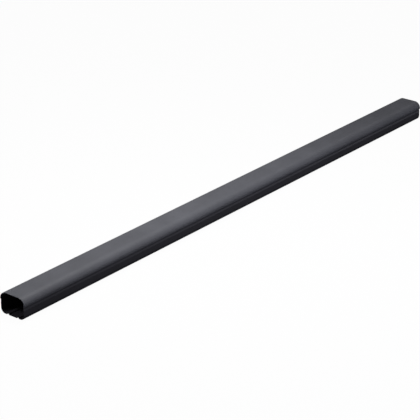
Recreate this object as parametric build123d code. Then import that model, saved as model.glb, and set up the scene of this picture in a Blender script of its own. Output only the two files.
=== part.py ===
from build123d import *
import os

# Cable trunking: a U-shaped base channel with a cover that clips over its walls.
# Millimetres. X runs along the length, Y across it, Z up from the flat underside.
# Each outline below is the half with positive Y, as (Y, Z), and is mirrored.

# Whole trunking, with its cover on
length = 2000.0
width = 93.0
height = 65.5

# Cover: round outer corners above a short upright skirt and the lip
cover_wall = 1.8
cover_corner_radius = 22.8
cover_skirt = 0.2
cover_edge_radius = 0.5

# Lip turned in along each lower edge of the cover
lip_reach = 0.9
lip_height = 1.2

# Stop rib inside the cover, which rests on the top of the base's wall
stop_rib_height = 1.5

# Base
base_inset = 2.0
base_wall = 1.8
base_corner_radius = 15.5

# Snap joint: recess outside the wall, barb over the lip, and a lead-in to the wall's top
snap_clearance = 0.2
recess_height = 5.3
barb_land = 1.4
lead_in_rise = 4.1
lead_in_run = 1.0
wall_top_radius = 0.5

# Sloping shoulder outside the base, from the foot of the recess
shoulder_proud = 0.3
shoulder_rise = 6.0
shoulder_flare = 1.0

# Grooves along the underside, which show as ribs on the floor inside
foot_width = 6.5
groove_width = 7.0
groove_depth = 3.0
groove_radius = 0.6

# Oblong fixing holes along the middle of the floor, as many as the length takes
slot_pitch = 250.0
slot_length = 15.0
slot_width = 5.5

# Heights that follow, from the cover's lower edge up and then down
cover_edge = height - cover_corner_radius - cover_skirt - lip_height
lip_top = cover_edge + lip_height
barb_bottom = lip_top + snap_clearance
barb_top = barb_bottom + barb_land
wall_top = barb_top + lead_in_rise
recess_foot = cover_edge - recess_height
shoulder_edge = recess_foot - shoulder_rise

# Distances from the middle that follow, from the outside in
cover_face = width / 2
cover_inner = cover_face - cover_wall
lip_face = cover_inner - lip_reach
barb_face = cover_inner - snap_clearance
barb_inner = barb_face - base_wall
recess_face = lip_face - snap_clearance
recess_inner = recess_face - base_wall
base_face = cover_face - base_inset
base_inner = base_face - base_wall
shoulder_face = base_face + shoulder_proud
groove_far = base_face - base_corner_radius - foot_width
groove_near = groove_far - groove_width


def extruded_section(corners):
    """Closed half outline of (Y, Z, corner radius), mirrored and run the full length."""
    points = [(y, z) for y, z, radius in corners]
    radii = [radius for y, z, radius in corners]
    with BuildPart() as bar:
        with BuildSketch(Plane.YZ):
            with BuildLine():
                FilletPolyline(points, radius=radii, close=True)
            make_face()
            mirror(about=Plane.YZ)
        extrude(amount=length / 2, both=True)
    return bar.part


def make_cover():
    """Inverted U with round outer corners, a lip on each edge and a stop rib inside."""
    roof = height - cover_wall
    shell = extruded_section(
        [
            (0, roof, 0),
            (cover_inner, roof, cover_corner_radius - cover_wall),
            (cover_inner, lip_top, 0),
            (lip_face, lip_top, 0),
            (lip_face, cover_edge, cover_edge_radius),
            (cover_face, cover_edge, cover_edge_radius),
            (cover_face, height, cover_corner_radius),
            (0, height, 0),
        ]
    )
    rib_width = cover_inner - barb_inner
    rib = Box(length, rib_width, stop_rib_height, align=(Align.CENTER, Align.MIN, Align.MIN))
    rib_on_right = Pos(0, barb_inner, wall_top) * rib
    rib_on_left = Pos(0, -cover_inner, wall_top) * rib
    return shell + rib_on_right + rib_on_left


def make_base():
    """U channel of one wall thickness, from the grooved floor to the barbed wall tops."""
    channel = extruded_section(
        [
            # Underside: the middle strip, the groove, the foot and the round corner
            (0, 0, 0),
            (groove_near, 0, groove_radius),
            (groove_near, groove_depth, groove_radius),
            (groove_far, groove_depth, groove_radius),
            (groove_far, 0, groove_radius),
            (base_face, 0, base_corner_radius),
            # Outside: the shoulder, the recess, the barb and the lead-in
            (base_face, shoulder_edge - shoulder_flare, 0),
            (shoulder_face, shoulder_edge, 0),
            (recess_face, recess_foot, 0),
            (recess_face, barb_bottom, 0),
            (barb_face, barb_bottom, 0),
            (barb_face, barb_top, 0),
            (barb_face - lead_in_run, wall_top, wall_top_radius),
            # Inside: back down the wall
            (barb_inner, wall_top, 0),
            (barb_inner, barb_top, 0),
            (recess_inner, barb_bottom, 0),
            (recess_inner, recess_foot, 0),
            (base_inner, shoulder_edge, 0),
            (base_inner, base_wall, base_corner_radius - base_wall),
            # Floor: a rib over the groove, then the middle strip
            (groove_far + base_wall, base_wall, groove_radius),
            (groove_far + base_wall, groove_depth + base_wall, groove_radius),
            (groove_near - base_wall, groove_depth + base_wall, groove_radius),
            (groove_near - base_wall, base_wall, groove_radius),
            (0, base_wall, 0),
        ]
    )
    slot_count = int(length // slot_pitch)
    with BuildPart() as slots:
        with BuildSketch():
            with GridLocations(slot_pitch, 0, slot_count, 1):
                SlotOverall(slot_length, slot_width)
        extrude(amount=base_wall)
    return channel - slots.part


os.makedirs("parts", exist_ok=True)
export_step(make_base(), "parts/duct_base.step")
export_step(make_cover(), "parts/duct_cover.step")
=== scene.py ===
# %% [markdown]
# # A length of cable trunking
# Cable trunking is a plastic tube in two halves: a channel that is screwed to a
# wall, and a cover that clips over it once the cables are in. Both are pushed
# hot through a steel die, so each one is a single outline carried along a
# straight line. In this lesson we draw those two outlines, run them out to two
# metres, cut the screw holes, and then spend most of our care on the black
# plastic, because on so plain a shape the surface is what the eye reads.

# %% Load the measured model
import math

import bmesh
import bpy
from mathutils import Euler, Matrix, Vector


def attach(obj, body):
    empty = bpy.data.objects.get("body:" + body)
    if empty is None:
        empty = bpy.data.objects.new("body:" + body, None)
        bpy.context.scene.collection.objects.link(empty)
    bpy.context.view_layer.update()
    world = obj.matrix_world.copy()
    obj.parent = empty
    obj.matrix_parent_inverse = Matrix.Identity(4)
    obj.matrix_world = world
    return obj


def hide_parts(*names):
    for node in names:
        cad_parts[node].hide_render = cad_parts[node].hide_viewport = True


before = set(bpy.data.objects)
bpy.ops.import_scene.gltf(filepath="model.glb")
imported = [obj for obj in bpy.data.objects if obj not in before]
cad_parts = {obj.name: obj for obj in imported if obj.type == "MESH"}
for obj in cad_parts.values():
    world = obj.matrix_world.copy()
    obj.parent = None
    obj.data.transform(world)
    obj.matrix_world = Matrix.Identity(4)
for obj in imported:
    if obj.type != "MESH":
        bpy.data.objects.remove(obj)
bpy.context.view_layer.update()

# %% [markdown]
# ## Working in millimetres
# The trunking's walls are under 2 mm thick and its length is 2 m. Blender works
# in metres, so it is easy to lose a zero. We write every size of the trunking in
# millimetres, as a maker would, and change to metres only where a number is
# handed to Blender. For points a small helper does that. The sizes are those of
# the measured model. A face is given by its distance from the middle of the
# width, and a height is measured from the flat underside.

# %% Sizes of the whole trunking
MM = 0.001
LENGTH = 2000.0
WIDTH = 93.0
HEIGHT = 65.5
COVER_WALL = 1.8
BASE_WALL = 1.8


def vertex(mesh, x, y, z):
    """Add a point to a mesh, from its place in millimetres."""
    return mesh.verts.new((x * MM, y * MM, z * MM))


print("the trunking is", LENGTH, "by", WIDTH, "by", HEIGHT, "mm")

# %% [markdown]
# ## A rounded outline
# A die has no truly sharp corners, and neither has the plastic that comes out of
# it. We could draw sharp outlines and bevel them afterwards, but a bevel treats
# every corner alike. Here each corner carries its own radius, from 23 mm on the
# cover's shoulders down to a quarter of a millimetre on the lips, so a small
# helper swaps each corner for an arc.


# %% Turn a list of corners into a smooth outline
def rounded(corners, step_degrees=5.0):
    """Closed outline of (y, z) points from corners written as (y, z, radius).

    A corner with a radius of 0 stays as it is.
    """
    outline = []
    for i, (y, z, radius) in enumerate(corners):
        here = Vector((y, z))
        if radius == 0:
            outline.append(here)
            continue
        after = corners[(i + 1) % len(corners)]
        way_in = (here - Vector(corners[i - 1][:2])).normalized()
        way_out = (Vector(after[:2]) - here).normalized()
        turn = math.atan2(way_in.cross(way_out), way_in.dot(way_out))
        start = here - way_in * radius * math.tan(abs(turn) / 2)
        to_centre = Vector((-way_in.y, way_in.x)) * math.copysign(radius, turn)
        centre = start + to_centre
        steps = max(2, math.ceil(abs(math.degrees(turn)) / step_degrees))
        for k in range(steps + 1):
            outline.append(centre - Matrix.Rotation(turn * k / steps, 2) @ to_centre)
    return outline


def arc(centre_y, centre_z, radius, first, last, steps):
    """Points on an arc, from one angle in degrees to another, as square corners."""
    points = []
    for k in range(steps + 1):
        angle = math.radians(first + (last - first) * k / steps)
        points.append((centre_y + radius * math.cos(angle), centre_z + radius * math.sin(angle), 0))
    return points


def both_sides(half):
    """The whole section from the half with positive y."""
    return half + [(-y, z, radius) for y, z, radius in reversed(half)]


sample = rounded([(0, 0, 1), (10, 0, 1), (10, 10, 1), (0, 10, 1)])
print("a square with 1 mm corners takes", len(sample), "points")

# %% [markdown]
# ## A rim where the saw went through
# A cut plastic edge is never razor sharp. At each end the last ring of points is
# a little smaller all round, which leaves a fine rim that catches the light. To
# make it, every point moves into the material, square to the outline on both
# sides of it. That only works if we know which side the material is on, and the
# sign of the area says which way round the outline runs.


# %% Draw an outline in
def area(outline):
    """Signed area, which is positive where the outline runs anticlockwise."""
    return sum(a.cross(b) for a, b in zip(outline, outline[1:] + outline[:1])) / 2


def drawn_in(outline, amount):
    """An anticlockwise outline moved into the material by a small amount."""
    moved = []
    for i, here in enumerate(outline):
        before = (here - outline[i - 1]).normalized()
        after = (outline[(i + 1) % len(outline)] - here).normalized()
        inward = Vector((-(before.y + after.y), before.x + after.x)).normalized()
        moved.append(here + inward * amount)
    return moved


print("the square covers", round(area(sample), 2), "square mm, and drawn in by 1 mm it covers",
      round(area(drawn_in(sample, 1)), 2))

# %% [markdown]
# ## Running the outline out
# Blender can sweep an outline along a curve, but for a straight bar it is
# simpler to make copies of the outline and bridge them with long faces. The
# same two helpers, one that bridges rings and one that turns the points and
# faces into an object, will serve for the screw holes as well.

# %% Make a bar from an outline
SAW_RIM = 0.2
CRISP_ANGLE = 30.0


def bridge(mesh, rings):
    """Join rings of points, each to the next, and close both ends."""
    for near, far in zip(rings, rings[1:]):
        for i in range(len(near)):
            j = (i + 1) % len(near)
            mesh.faces.new((near[i], near[j], far[j], far[i]))
    mesh.faces.new(rings[0])
    mesh.faces.new(rings[-1])


def made_object(name, mesh):
    """Turn points and faces into an object in the scene."""
    data = bpy.data.meshes.new(name)
    mesh.to_mesh(data)
    mesh.free()
    made = bpy.data.objects.new(name, data)
    bpy.context.scene.collection.objects.link(made)
    return made


def extruded_bar(name, outline):
    """A straight bar of this section, with a fine rim at each cut end."""
    if area(outline) < 0:
        outline = outline[::-1]
    small = drawn_in(outline, SAW_RIM)
    end = LENGTH / 2
    full = end - SAW_RIM
    mesh = bmesh.new()
    rings = []
    for x, ring in ((-end, small), (-full, outline), (full, outline), (end, small)):
        rings.append([vertex(mesh, x, point.x, point.y) for point in ring])
    bridge(mesh, rings)
    bmesh.ops.recalc_face_normals(mesh, faces=mesh.faces)
    return made_object(name, mesh)


def shade_smooth(bar):
    """Smooth shading over the arcs, with the real corners kept crisp."""
    for face in bar.data.polygons:
        face.use_smooth = True
    bar.data.set_sharp_from_angle(angle=math.radians(CRISP_ANGLE))


print("each cut end has a rim of", SAW_RIM, "mm")

# %% [markdown]
# ## The joint
# The halves hold each other along their whole length. The cover's lower edges
# turn in to form a lip, and the channel's walls carry a barb. Pressing the cover
# down spreads it over a slope, until the lip springs into a recess under the
# barb. The lip and the barb only show at the open ends, but there they are what
# makes the joint look like a joint. Both outlines use these faces and heights,
# so we work them out once, with a small gap between the halves.

# %% Work out the joint
COVER_CORNER = 22.8
COVER_SKIRT = 0.2
LIP_REACH = 0.9
LIP_HEIGHT = 1.2
JOINT_GAP = 0.2
BARB_LAND = 1.4
LEAD_IN_RISE = 4.1

cover_face = WIDTH / 2
cover_inner = cover_face - COVER_WALL
lip_face = cover_inner - LIP_REACH
barb_face = cover_inner - JOINT_GAP
barb_inner = barb_face - BASE_WALL
lip_bottom = HEIGHT - COVER_CORNER - COVER_SKIRT - LIP_HEIGHT
lip_top = lip_bottom + LIP_HEIGHT
barb_bottom = lip_top + JOINT_GAP
barb_top = barb_bottom + BARB_LAND
wall_top = barb_top + LEAD_IN_RISE
print("the cover's edge is", round(lip_bottom, 2), "mm above the underside")

# %% [markdown]
# ## The cover
# On the real object the cover is an upturned U with big soft shoulders. A small
# rib inside each wall sits on top of the channel's wall and stops the cover from
# being pushed down too far. The rib starts where the inside of the shoulder has
# already begun to curve, so we ask at which angle of the arc each edge of the
# rib meets it.

# %% Draw the cover
STOP_RIB = 1.5
EDGE_ROUND = 0.5
SOFT_EDGE = 0.25

corner_y = cover_face - COVER_CORNER
corner_z = HEIGHT - COVER_CORNER
corner_inner = COVER_CORNER - COVER_WALL
rib_top = wall_top + STOP_RIB


def angle_at(height):
    """The angle at which the inside of the shoulder reaches a height, in degrees."""
    return math.degrees(math.asin((height - corner_z) / corner_inner))


cover_half = [
    (cover_face, HEIGHT, COVER_CORNER),
    (cover_face, lip_bottom, EDGE_ROUND),
    (lip_face, lip_bottom, EDGE_ROUND),
    (lip_face, lip_top, SOFT_EDGE),
    (cover_inner, lip_top, 0),
    *arc(corner_y, corner_z, corner_inner, first=0, last=angle_at(wall_top), steps=4),
    (barb_inner, wall_top, SOFT_EDGE),
    (barb_inner, rib_top, SOFT_EDGE),
    *arc(corner_y, corner_z, corner_inner, first=angle_at(rib_top), last=90, steps=14),
]
cover = extruded_bar("cover_profile", rounded(both_sides(cover_half)))
shade_smooth(cover)
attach(cover, "root")
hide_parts("duct_cover")
print("the cover has", len(cover.data.polygons), "faces")

# %% [markdown]
# ## The channel
# The channel keeps one wall thickness all the way round, because plastic of an
# even thickness cools evenly and stays straight. So where its side steps in to
# make room for the cover's edge, the inside steps in too, and the two grooves
# underneath show as ribs on the floor. We could type in every face of both
# sides, but then a thicker wall would mean typing half of them again. So we give
# the outside its sizes and work out each inner face as one wall further in.

# %% Work out the channel
BASE_INSET = 2.0
BASE_CORNER = 15.5
RECESS_HEIGHT = 5.3
SHOULDER_RISE = 6.0
SHOULDER_PROUD = 0.3
FOOT_WIDTH = 6.5
GROOVE_WIDTH = 7.0
GROOVE_DEPTH = 3.0

base_face = cover_face - BASE_INSET
base_inner = base_face - BASE_WALL
recess_face = lip_face - JOINT_GAP
recess_inner = recess_face - BASE_WALL
recess_foot = lip_bottom - RECESS_HEIGHT
shoulder_edge = recess_foot - SHOULDER_RISE
shoulder_face = base_face + SHOULDER_PROUD
groove_far = base_face - BASE_CORNER - FOOT_WIDTH
groove_near = groove_far - GROOVE_WIDTH
rib_far = groove_far + BASE_WALL
rib_near = groove_near - BASE_WALL
rib_height = GROOVE_DEPTH + BASE_WALL
print("each groove shows inside as a rib", round(rib_far - rib_near, 2), "mm wide")

# %% [markdown]
# ## The channel's outline
# Below the joint the side slopes out to a shoulder that stands a little proud.
# The slope looks slightly upwards, so it is the thin light line along the side.
# We follow the outside from the groove up to the barb and its slope, then come
# back down the inside. Every bend is rounded a little, because a round bend
# catches some light from any side, and a sharp one would only do so by luck.

# %% Draw the channel
LEAD_IN_RUN = 1.0
RECESS_ROUND = 0.4
SHOULDER_FLARE = 1.0
SHOULDER_ROUND = 0.3
BEND_ROUND = 0.8
GROOVE_ROUND = 0.6

base_outside = [
    (groove_near, 0, GROOVE_ROUND),
    (groove_near, GROOVE_DEPTH, GROOVE_ROUND),
    (groove_far, GROOVE_DEPTH, GROOVE_ROUND),
    (groove_far, 0, GROOVE_ROUND),
    (base_face, 0, BASE_CORNER),
    (base_face, shoulder_edge - SHOULDER_FLARE, BEND_ROUND),
    (shoulder_face, shoulder_edge, SHOULDER_ROUND),
    (recess_face, recess_foot, RECESS_ROUND),
    (recess_face, barb_bottom, SOFT_EDGE),
    (barb_face, barb_bottom, SOFT_EDGE),
    (barb_face, barb_top, EDGE_ROUND),
    (barb_face - LEAD_IN_RUN, wall_top, EDGE_ROUND),
]
base_inside = [
    (barb_inner, wall_top, SOFT_EDGE),
    (barb_inner, barb_top, EDGE_ROUND),
    (recess_inner, barb_bottom, EDGE_ROUND),
    (recess_inner, recess_foot, BEND_ROUND),
    (base_inner, shoulder_edge, BEND_ROUND),
    (base_inner, BASE_WALL, BASE_CORNER - BASE_WALL),
    (rib_far, BASE_WALL, GROOVE_ROUND),
    (rib_far, rib_height, GROOVE_ROUND),
    (rib_near, rib_height, GROOVE_ROUND),
    (rib_near, BASE_WALL, GROOVE_ROUND),
]
base = extruded_bar("base_channel", rounded(both_sides(base_outside + base_inside)))
print("the channel has", len(base.data.polygons), "faces before its holes are cut")

# %% [markdown]
# ## The punches
# Screws go through the channel's floor. The holes are punched after the plastic
# has cooled, and they are oblong, so that a screw can slide a little while the
# trunking is set straight. We make a punch for each hole. It flares at both
# faces of the floor, so every hole gets a soft edge from the same cut, and it
# reaches a little past them, because a cut that ends exactly on a face is the
# one that goes wrong.

# %% Make the punches
SLOT_LENGTH = 15.0
SLOT_WIDTH = 5.5
SLOT_PITCH = 250.0
SLOT_COUNT = 8
RING_POINTS = 32
OVERSHOOT = 0.5
FLARE = OVERSHOOT + SOFT_EDGE


def slot_ring(mesh, x, z, grow):
    """One oblong ring of a punch, this much larger than the hole."""
    radius = SLOT_WIDTH / 2 + grow
    reach = (SLOT_LENGTH - SLOT_WIDTH) / 2
    ring = []
    for k in range(RING_POINTS):
        angle = 2 * math.pi * (k + 0.5) / RING_POINTS
        end = reach if math.cos(angle) > 0 else -reach
        ring.append(vertex(mesh, x + end + radius * math.cos(angle), radius * math.sin(angle), z))
    return ring


punch_mesh = bmesh.new()
for n in range(SLOT_COUNT):
    slot_x = SLOT_PITCH * (n - (SLOT_COUNT - 1) / 2)
    bridge(punch_mesh, [
        slot_ring(punch_mesh, slot_x, -OVERSHOOT, FLARE),
        slot_ring(punch_mesh, slot_x, SOFT_EDGE, 0.0),
        slot_ring(punch_mesh, slot_x, BASE_WALL - SOFT_EDGE, 0.0),
        slot_ring(punch_mesh, slot_x, BASE_WALL + OVERSHOOT, FLARE),
    ])
bmesh.ops.recalc_face_normals(punch_mesh, faces=punch_mesh.faces)
punch = made_object("slot_punch", punch_mesh)
print("there are", SLOT_COUNT, "punches,", SLOT_PITCH, "mm apart")

# %% [markdown]
# ## Cutting the holes
# We could have built the floor around the holes, but a Boolean does what the
# punch does, in one step. We keep the mesh that it makes and throw the modifier
# and the punches away, so that nothing is left to be worked out again later.

# %% Punch the slots
cut = base.modifiers.new("slots", "BOOLEAN")
cut.operation = "DIFFERENCE"
cut.solver = "EXACT"
cut.object = punch
bpy.context.view_layer.update()
cut_base = base.evaluated_get(bpy.context.evaluated_depsgraph_get())
cut_data = bpy.data.meshes.new_from_object(cut_base)
base.modifiers.remove(cut)
base.data = cut_data
bpy.data.objects.remove(punch)
shade_smooth(base)
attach(base, "root")
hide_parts("duct_base")
print("the channel has", len(base.data.polygons), "faces now that its holes are cut")

# %% [markdown]
# ## What black plastic is like
# Trunking plastic is not a pure black. It is a dark grey with a hint of blue,
# and its skin is satin, because the die is polished but the plastic shrinks a
# little as it cools. Four things keep it from looking like paint. The die leaves
# faint lines along the length, the skin ripples very slightly, the grey drifts
# a little from place to place, and handling rubs the raised edges paler. All of
# them come from nodes, and a few helpers keep the node code short.

# %% Write helpers for nodes
# A Mix node has sockets for every kind of data, and these are its colour ones.
COLOUR_A = 6
COLOUR_B = 7
COLOUR_RESULT = 2


def node(tree, kind, **settings):
    """Add a node and fill in its settings and its unlinked sockets."""
    made = tree.nodes.new(kind)
    for key, value in settings.items():
        if key in made.inputs:
            made.inputs[key].default_value = value
        else:
            setattr(made, key, value)
    return made


def noise(tree, place, **settings):
    """Noise read at this place, as a value between 0 and 1."""
    made = node(tree, "ShaderNodeTexNoise", **settings)
    tree.links.new(place, made.inputs["Vector"])
    return made.outputs["Fac"]


def remapped(tree, value, low, high, to_low=0.0, to_high=1.0):
    """The value with low and high moved to two other levels, and held between them."""
    made = node(tree, "ShaderNodeMapRange")
    made.inputs["From Min"].default_value = low
    made.inputs["From Max"].default_value = high
    made.inputs["To Min"].default_value = to_low
    made.inputs["To Max"].default_value = to_high
    tree.links.new(value, made.inputs["Value"])
    return made.outputs["Result"]


def scaled(colour, factor=1.0):
    """A colour made darker or lighter, as a socket takes it."""
    return (*[channel * factor for channel in colour], 1)


print("half as bright as white is", scaled((1, 1, 1), 0.5))

# %% [markdown]
# ## Finding the rubbed edges
# Where hands and other lengths rub the trunking, its edges turn paler. We could
# paint them, but the Bevel node finds them for us. Near an edge it bends the
# direction that the surface faces, so wherever that direction differs from the
# true one there is an edge close by.

# %% Find the edges
RUB_RADIUS = 0.6
RUB_STARTS = 0.995
RUB_IS_FULL = 0.90


def rubbed_edges(tree):
    """A value that is 0 away from the edges and 1 at a sharp edge."""
    bent = node(tree, "ShaderNodeBevel", samples=6, Radius=RUB_RADIUS * MM)
    true = node(tree, "ShaderNodeNewGeometry")
    alike = node(tree, "ShaderNodeVectorMath", operation="DOT_PRODUCT")
    tree.links.new(bent.outputs["Normal"], alike.inputs[0])
    tree.links.new(true.outputs["Normal"], alike.inputs[1])
    return remapped(tree, alike.outputs["Value"], RUB_STARTS, RUB_IS_FULL)


print("edges are rubbed over", RUB_RADIUS, "mm")

# %% [markdown]
# ## The grey
# The colour is stirred into the plastic before it goes through the die, and
# never quite evenly. One flat colour would look like a drawing, so a large, slow
# noise picks a grey from a ramp between a slightly darker and a slightly lighter
# one. The rubbed edges are mixed in on top. Noise mostly keeps to its middle
# levels, so the ramp starts and ends inside its range.

# %% Mix the grey
NOISE_LOW = 0.3
NOISE_HIGH = 0.7
DRIFT = 0.09
RUBBED_PALER = 2.0


def plastic_colour(tree, place, colour):
    """The grey with its slow drift and its paler edges."""
    clouds = noise(tree, place, Scale=9.0, Detail=5.0, Roughness=0.6)
    shade = node(tree, "ShaderNodeValToRGB")
    darker, lighter = shade.color_ramp.elements
    darker.position = NOISE_LOW
    darker.color = scaled(colour, 1 - DRIFT)
    lighter.position = NOISE_HIGH
    lighter.color = scaled(colour, 1 + DRIFT)
    tree.links.new(clouds, shade.inputs["Fac"])
    rubbed = node(tree, "ShaderNodeMix", data_type="RGBA")
    tree.links.new(rubbed_edges(tree), rubbed.inputs["Factor"])
    tree.links.new(shade.outputs["Color"], rubbed.inputs[COLOUR_A])
    rubbed.inputs[COLOUR_B].default_value = scaled(colour, RUBBED_PALER)
    return rubbed.outputs[COLOUR_RESULT]


print("the grey drifts by", round(100 * DRIFT), "percent either way")

# %% [markdown]
# ## The skin
# The die lines are noise that is stretched out along the length and squeezed
# across it. They change how rough the skin is and also raise it by a few
# hundredths of a millimetre, and a much finer noise adds the ripple. Modelled as
# faces they would take millions, so a Bump node only tilts the light for them.
# All the noise reads the object's own coordinates, so nothing slides when the
# camera moves.

# %% Build the plastic
DIE_LINE_STRETCH = (0.6, 220.0, 220.0)
DIE_LINE_DEPTH = 0.04
SKIN_DEPTH = 0.03
ROUGHNESS_SPREAD = 0.05


def trunking_plastic(name, colour, roughness, shine):
    """Satin black plastic with die lines along X, a faint ripple and worn edges."""
    material = bpy.data.materials.new(name)
    material.use_nodes = True
    tree = material.node_tree
    link = tree.links.new
    shader = tree.nodes["Principled BSDF"]
    shader.inputs["Specular IOR Level"].default_value = shine
    place = node(tree, "ShaderNodeTexCoord").outputs["Object"]
    link(plastic_colour(tree, place, colour), shader.inputs["Base Color"])

    stretch = node(tree, "ShaderNodeMapping", Scale=DIE_LINE_STRETCH)
    link(place, stretch.inputs["Vector"])
    die_lines = noise(tree, stretch.outputs["Vector"], Scale=1.0, Detail=4.0, Roughness=0.6)
    skin = noise(tree, place, Scale=900.0, Detail=3.0, Roughness=0.55)
    smoothest = roughness - ROUGHNESS_SPREAD
    roughest = roughness + ROUGHNESS_SPREAD
    rough = remapped(tree, die_lines, NOISE_LOW, NOISE_HIGH, smoothest, roughest)
    link(rough, shader.inputs["Roughness"])

    lines_bump = node(tree, "ShaderNodeBump", Strength=0.25, Distance=DIE_LINE_DEPTH * MM)
    link(die_lines, lines_bump.inputs["Height"])
    skin_bump = node(tree, "ShaderNodeBump", Strength=0.35, Distance=SKIN_DEPTH * MM)
    link(skin, skin_bump.inputs["Height"])
    link(lines_bump.outputs["Normal"], skin_bump.inputs["Normal"])
    link(skin_bump.outputs["Normal"], shader.inputs["Normal"])
    return material


print("the die lines are up to", DIE_LINE_DEPTH, "mm high and the ripple up to", SKIN_DEPTH, "mm")

# %% [markdown]
# ## Two plastics from one recipe
# The cover is a duller, lighter grey, and the channel is smoother and shinier.
# The channel's grey is darker as well. That is partly its own colour and partly painted
# shade for the lower side, which gets less light from above. So the recipe takes
# the colour, the roughness and the shine, and we call it twice. The halves of the
# measured model wear the same plastics as the ones that we drew.

# %% Put the plastics on
COVER_GREY = (0.124, 0.126, 0.140)
# The channel's darker grey is partly painted shade for the lower side of the trunking.
BASE_GREY_AND_SHADE = (0.050, 0.048, 0.058)

cover_plastic = trunking_plastic("cover_black", COVER_GREY, roughness=0.60, shine=0.28)
base_plastic = trunking_plastic("base_black", BASE_GREY_AND_SHADE, roughness=0.42, shine=1.0)
for name, piece, plastic in (("duct_cover", cover, cover_plastic), ("duct_base", base, base_plastic)):
    for wearer in (piece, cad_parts[name]):
        wearer.data.materials.clear()
        wearer.data.materials.append(plastic)
print("the cover wears", cover_plastic.name, "and the channel wears", base_plastic.name)

# %% [markdown]
# ## The camera
# The photograph was taken from in front of the left end, looking down at about
# 24 degrees, with a long lens from far away: the two long edges close in on each
# other only a little. We found the lens and the place by fitting the outline's
# straight edges, so the render can be laid over the photograph. The camera
# stands metres away, so from here on places are in metres.

# %% Place the camera
SENSOR_MM = 36.0
LENS_MM = 149.197
CAMERA_PLACE = Vector((-3.99057, -3.07896, 2.17452))
HEADING = -51.39975
LOOKING_DOWN = 23.54642
FARTHEST_SEEN = 60.0

camera_data = bpy.data.cameras.new("camera")
camera_data.sensor_width = SENSOR_MM
camera_data.lens = LENS_MM
camera_data.clip_end = FARTHEST_SEEN
camera = bpy.data.objects.new("camera", camera_data)
bpy.context.scene.collection.objects.link(camera)
bpy.context.scene.camera = camera
turned = Euler((math.radians(90 - LOOKING_DOWN), 0.0, math.radians(HEADING)))
camera.matrix_world = Matrix.Translation(CAMERA_PLACE) @ turned.to_matrix().to_4x4()
print("the camera is", round(CAMERA_PLACE.length, 2), "m from the middle of the trunking")

# %% [markdown]
# ## The floor
# The photograph shows the trunking cut out on white. We could leave the floor
# out, but then the trunking would float, and a trace of shadow is what tells the
# eye that it lies on something. One large square is enough. It lies a hair below
# the trunking, so that the two surfaces don't fight for one place.

# %% Lay the floor
FLOOR_REACH = 15.0
FLOOR_DROP = 0.0002

floor_mesh = bmesh.new()
bmesh.ops.create_grid(floor_mesh, x_segments=1, y_segments=1, size=FLOOR_REACH)
floor = made_object("studio_floor", floor_mesh)
floor.location.z = -FLOOR_DROP
print("the floor is", 2 * FLOOR_REACH, "m square")

# %% [markdown]
# ## Paint that is white and black
# A white floor would throw so much light back up that the side would turn grey,
# and in the photograph the side is nearly black. A real studio has no way round
# that, but here a node tells us which kind of ray is asking. To the camera the
# floor is white, with a trace of real shading left in so that the shadow still
# shows. To the light that bounces off it, it is nearly black.

# %% Paint the floor
SEEN_WHITE = 0.97
SEEN_GREY = 0.90
BOUNCE_GREY = 0.05
WHITE = (1, 1, 1)

floor_paint = bpy.data.materials.new("studio_floor")
floor_paint.use_nodes = True
tree = floor_paint.node_tree
tree.nodes.clear()
to_camera = node(tree, "ShaderNodeLightPath").outputs["Is Camera Ray"]
tone = node(tree, "ShaderNodeMix", data_type="RGBA")
tone.inputs[COLOUR_A].default_value = scaled(WHITE, BOUNCE_GREY)
tone.inputs[COLOUR_B].default_value = scaled(WHITE, SEEN_GREY)
paint = node(tree, "ShaderNodeBsdfDiffuse")
glow = node(tree, "ShaderNodeEmission", Color=scaled(WHITE), Strength=1.0)
share = node(tree, "ShaderNodeMath", operation="MULTIPLY")
share.inputs[1].default_value = SEEN_WHITE
mix = node(tree, "ShaderNodeMixShader")
out = node(tree, "ShaderNodeOutputMaterial")
tree.links.new(to_camera, tone.inputs["Factor"])
tree.links.new(tone.outputs[COLOUR_RESULT], paint.inputs["Color"])
tree.links.new(to_camera, share.inputs[0])
tree.links.new(share.outputs["Value"], mix.inputs["Fac"])
tree.links.new(paint.outputs["BSDF"], mix.inputs[1])
tree.links.new(glow.outputs["Emission"], mix.inputs[2])
tree.links.new(mix.outputs["Shader"], out.inputs["Surface"])
floor.data.materials.append(floor_paint)
print("the camera sees the floor as", SEEN_WHITE, "white before any light falls on it")

# %% [markdown]
# ## Soft lamps
# Studio lamps are large flat panels, because light from a large panel has soft
# edges. Blender's area lamp is such a panel, but it is set by its power, so a
# larger panel of the same power looks dimmer. Plastic mirrors the face of the
# lamp, so we say how bright that face is and let a helper work out the power.
# The darker the plastic is in the photograph, the bluer it is, so the lamps at
# the sides are a little cooler than the one above.

# %% Write a helper for lamps
PLAIN = (1.0, 1.0, 1.0)
COOL = (0.98, 1.0, 1.15)


def softbox(name, place, aim, width, depth, brightness, colour=PLAIN):
    """Hang a rectangular lamp whose face has this brightness, whatever its size."""
    lamp = bpy.data.lights.new(name, "AREA")
    lamp.shape = "RECTANGLE"
    lamp.size = width
    lamp.size_y = depth
    lamp.energy = math.pi * width * depth * brightness
    lamp.color = colour
    box = bpy.data.objects.new(name, lamp)
    box.location = place
    box.rotation_euler = (Vector(aim) - Vector(place)).to_track_quat("-Z", "Y").to_euler()
    bpy.context.scene.collection.objects.link(box)


print("a panel of 1 square metre with a brightness of 1 takes", round(math.pi, 2), "W")

# %% [markdown]
# ## Light on the top
# The top is a flat mid grey, brightest at the rounded corner, and from there it
# fades smoothly to almost black on the upright side. That is what a soft lamp
# straight above does. The top also fades towards the far end, so the lamp hangs
# low and a little nearer to us. A pale band runs along the whole rounded corner,
# and one lamp far beyond the far end gives it: seen from that far away, it is
# mirrored towards the camera at the same place all along the bar.

# %% Light the top
softbox("lamp_above", place=(-0.27, 0.0, 1.6), aim=(-0.27, 0.0, 0.0),
        width=0.85, depth=0.6, brightness=12.8)
softbox("lamp_beyond", place=(6.2, 0.2, 6.0), aim=(0.0, 0.0, 0.0),
        width=2.0, depth=2.0, brightness=4.4)

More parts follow.
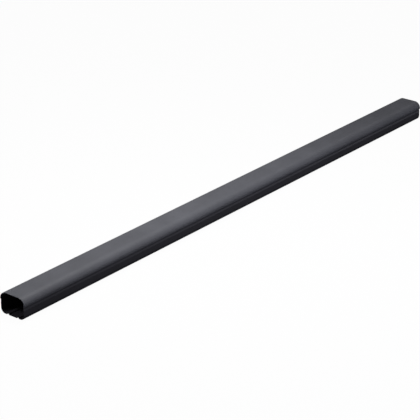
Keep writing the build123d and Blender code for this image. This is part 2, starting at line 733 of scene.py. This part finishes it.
# %% [markdown]
# ## Light on the side
# The side is brightest at mid length and fades towards both ends, as it does
# under a soft lamp in front of the middle. A stronger lamp there would spoil the
# dark side, so the light line under the joint has a lamp of its own. It is a
# panel low down on the right, which is mirrored by slopes that look slightly
# upwards and not by the upright side.

# %% Light the side
softbox("lamp_in_front", place=(-0.1, -1.1, 0.9), aim=(-0.1, 0.0, 0.03),
        width=1.6, depth=0.8, brightness=0.86, colour=COOL)
softbox("lamp_low_right", place=(4.4, -4.1, 0.85), aim=(0.0, 0.0, 0.03),
        width=2.0, depth=1.6, brightness=3.0, colour=COOL)

# %% [markdown]
# ## Light for the back and the mouth
# The photograph says nothing about the side that it doesn't show, but a part
# that others will turn round should not be black there. So a wide panel behind
# does for that side what the one on the right does for this one. The last lamp
# is small and stands beyond the near end, where it shines into the open mouth.

# %% Light the back and the mouth
softbox("lamp_low_behind", place=(-4.8, 3.9, 0.85), aim=(-0.1, 0.0, 0.03),
        width=4.0, depth=1.6, brightness=1.8, colour=COOL)
softbox("lamp_at_the_mouth", place=(-1.75, 0.5, 1.25), aim=(-1.0, 0.0, 0.03),
        width=0.6, depth=0.6, brightness=3.3)

# %% [markdown]
# ## The sky
# From low down the camera looks past the edge of the floor, into the dark. So
# the sky does what the floor does: the camera sees it white, and as a light it
# is very dim, just enough to keep the darkest corners from going quite black.
# The Standard view shows every colour as it is written, with no film look on
# top.

# %% Make the sky
SKY_GLOW = 0.01

world = bpy.data.worlds.new("studio_sky")
bpy.context.scene.world = world
world.use_nodes = True
tree = world.node_tree
tree.nodes.clear()
sky = node(tree, "ShaderNodeBackground", Color=scaled(WHITE), Strength=SKY_GLOW)
seen = node(tree, "ShaderNodeBackground", Color=scaled(WHITE), Strength=1.0)
rays = node(tree, "ShaderNodeLightPath")
mix = node(tree, "ShaderNodeMixShader")
out = node(tree, "ShaderNodeOutputWorld")
tree.links.new(rays.outputs["Is Camera Ray"], mix.inputs["Fac"])
tree.links.new(sky.outputs["Background"], mix.inputs[1])
tree.links.new(seen.outputs["Background"], mix.inputs[2])
tree.links.new(mix.outputs["Shader"], out.inputs["Surface"])

bpy.context.scene.view_settings.view_transform = "Standard"
print("the sky lights the trunking at", SKY_GLOW, "of full white")
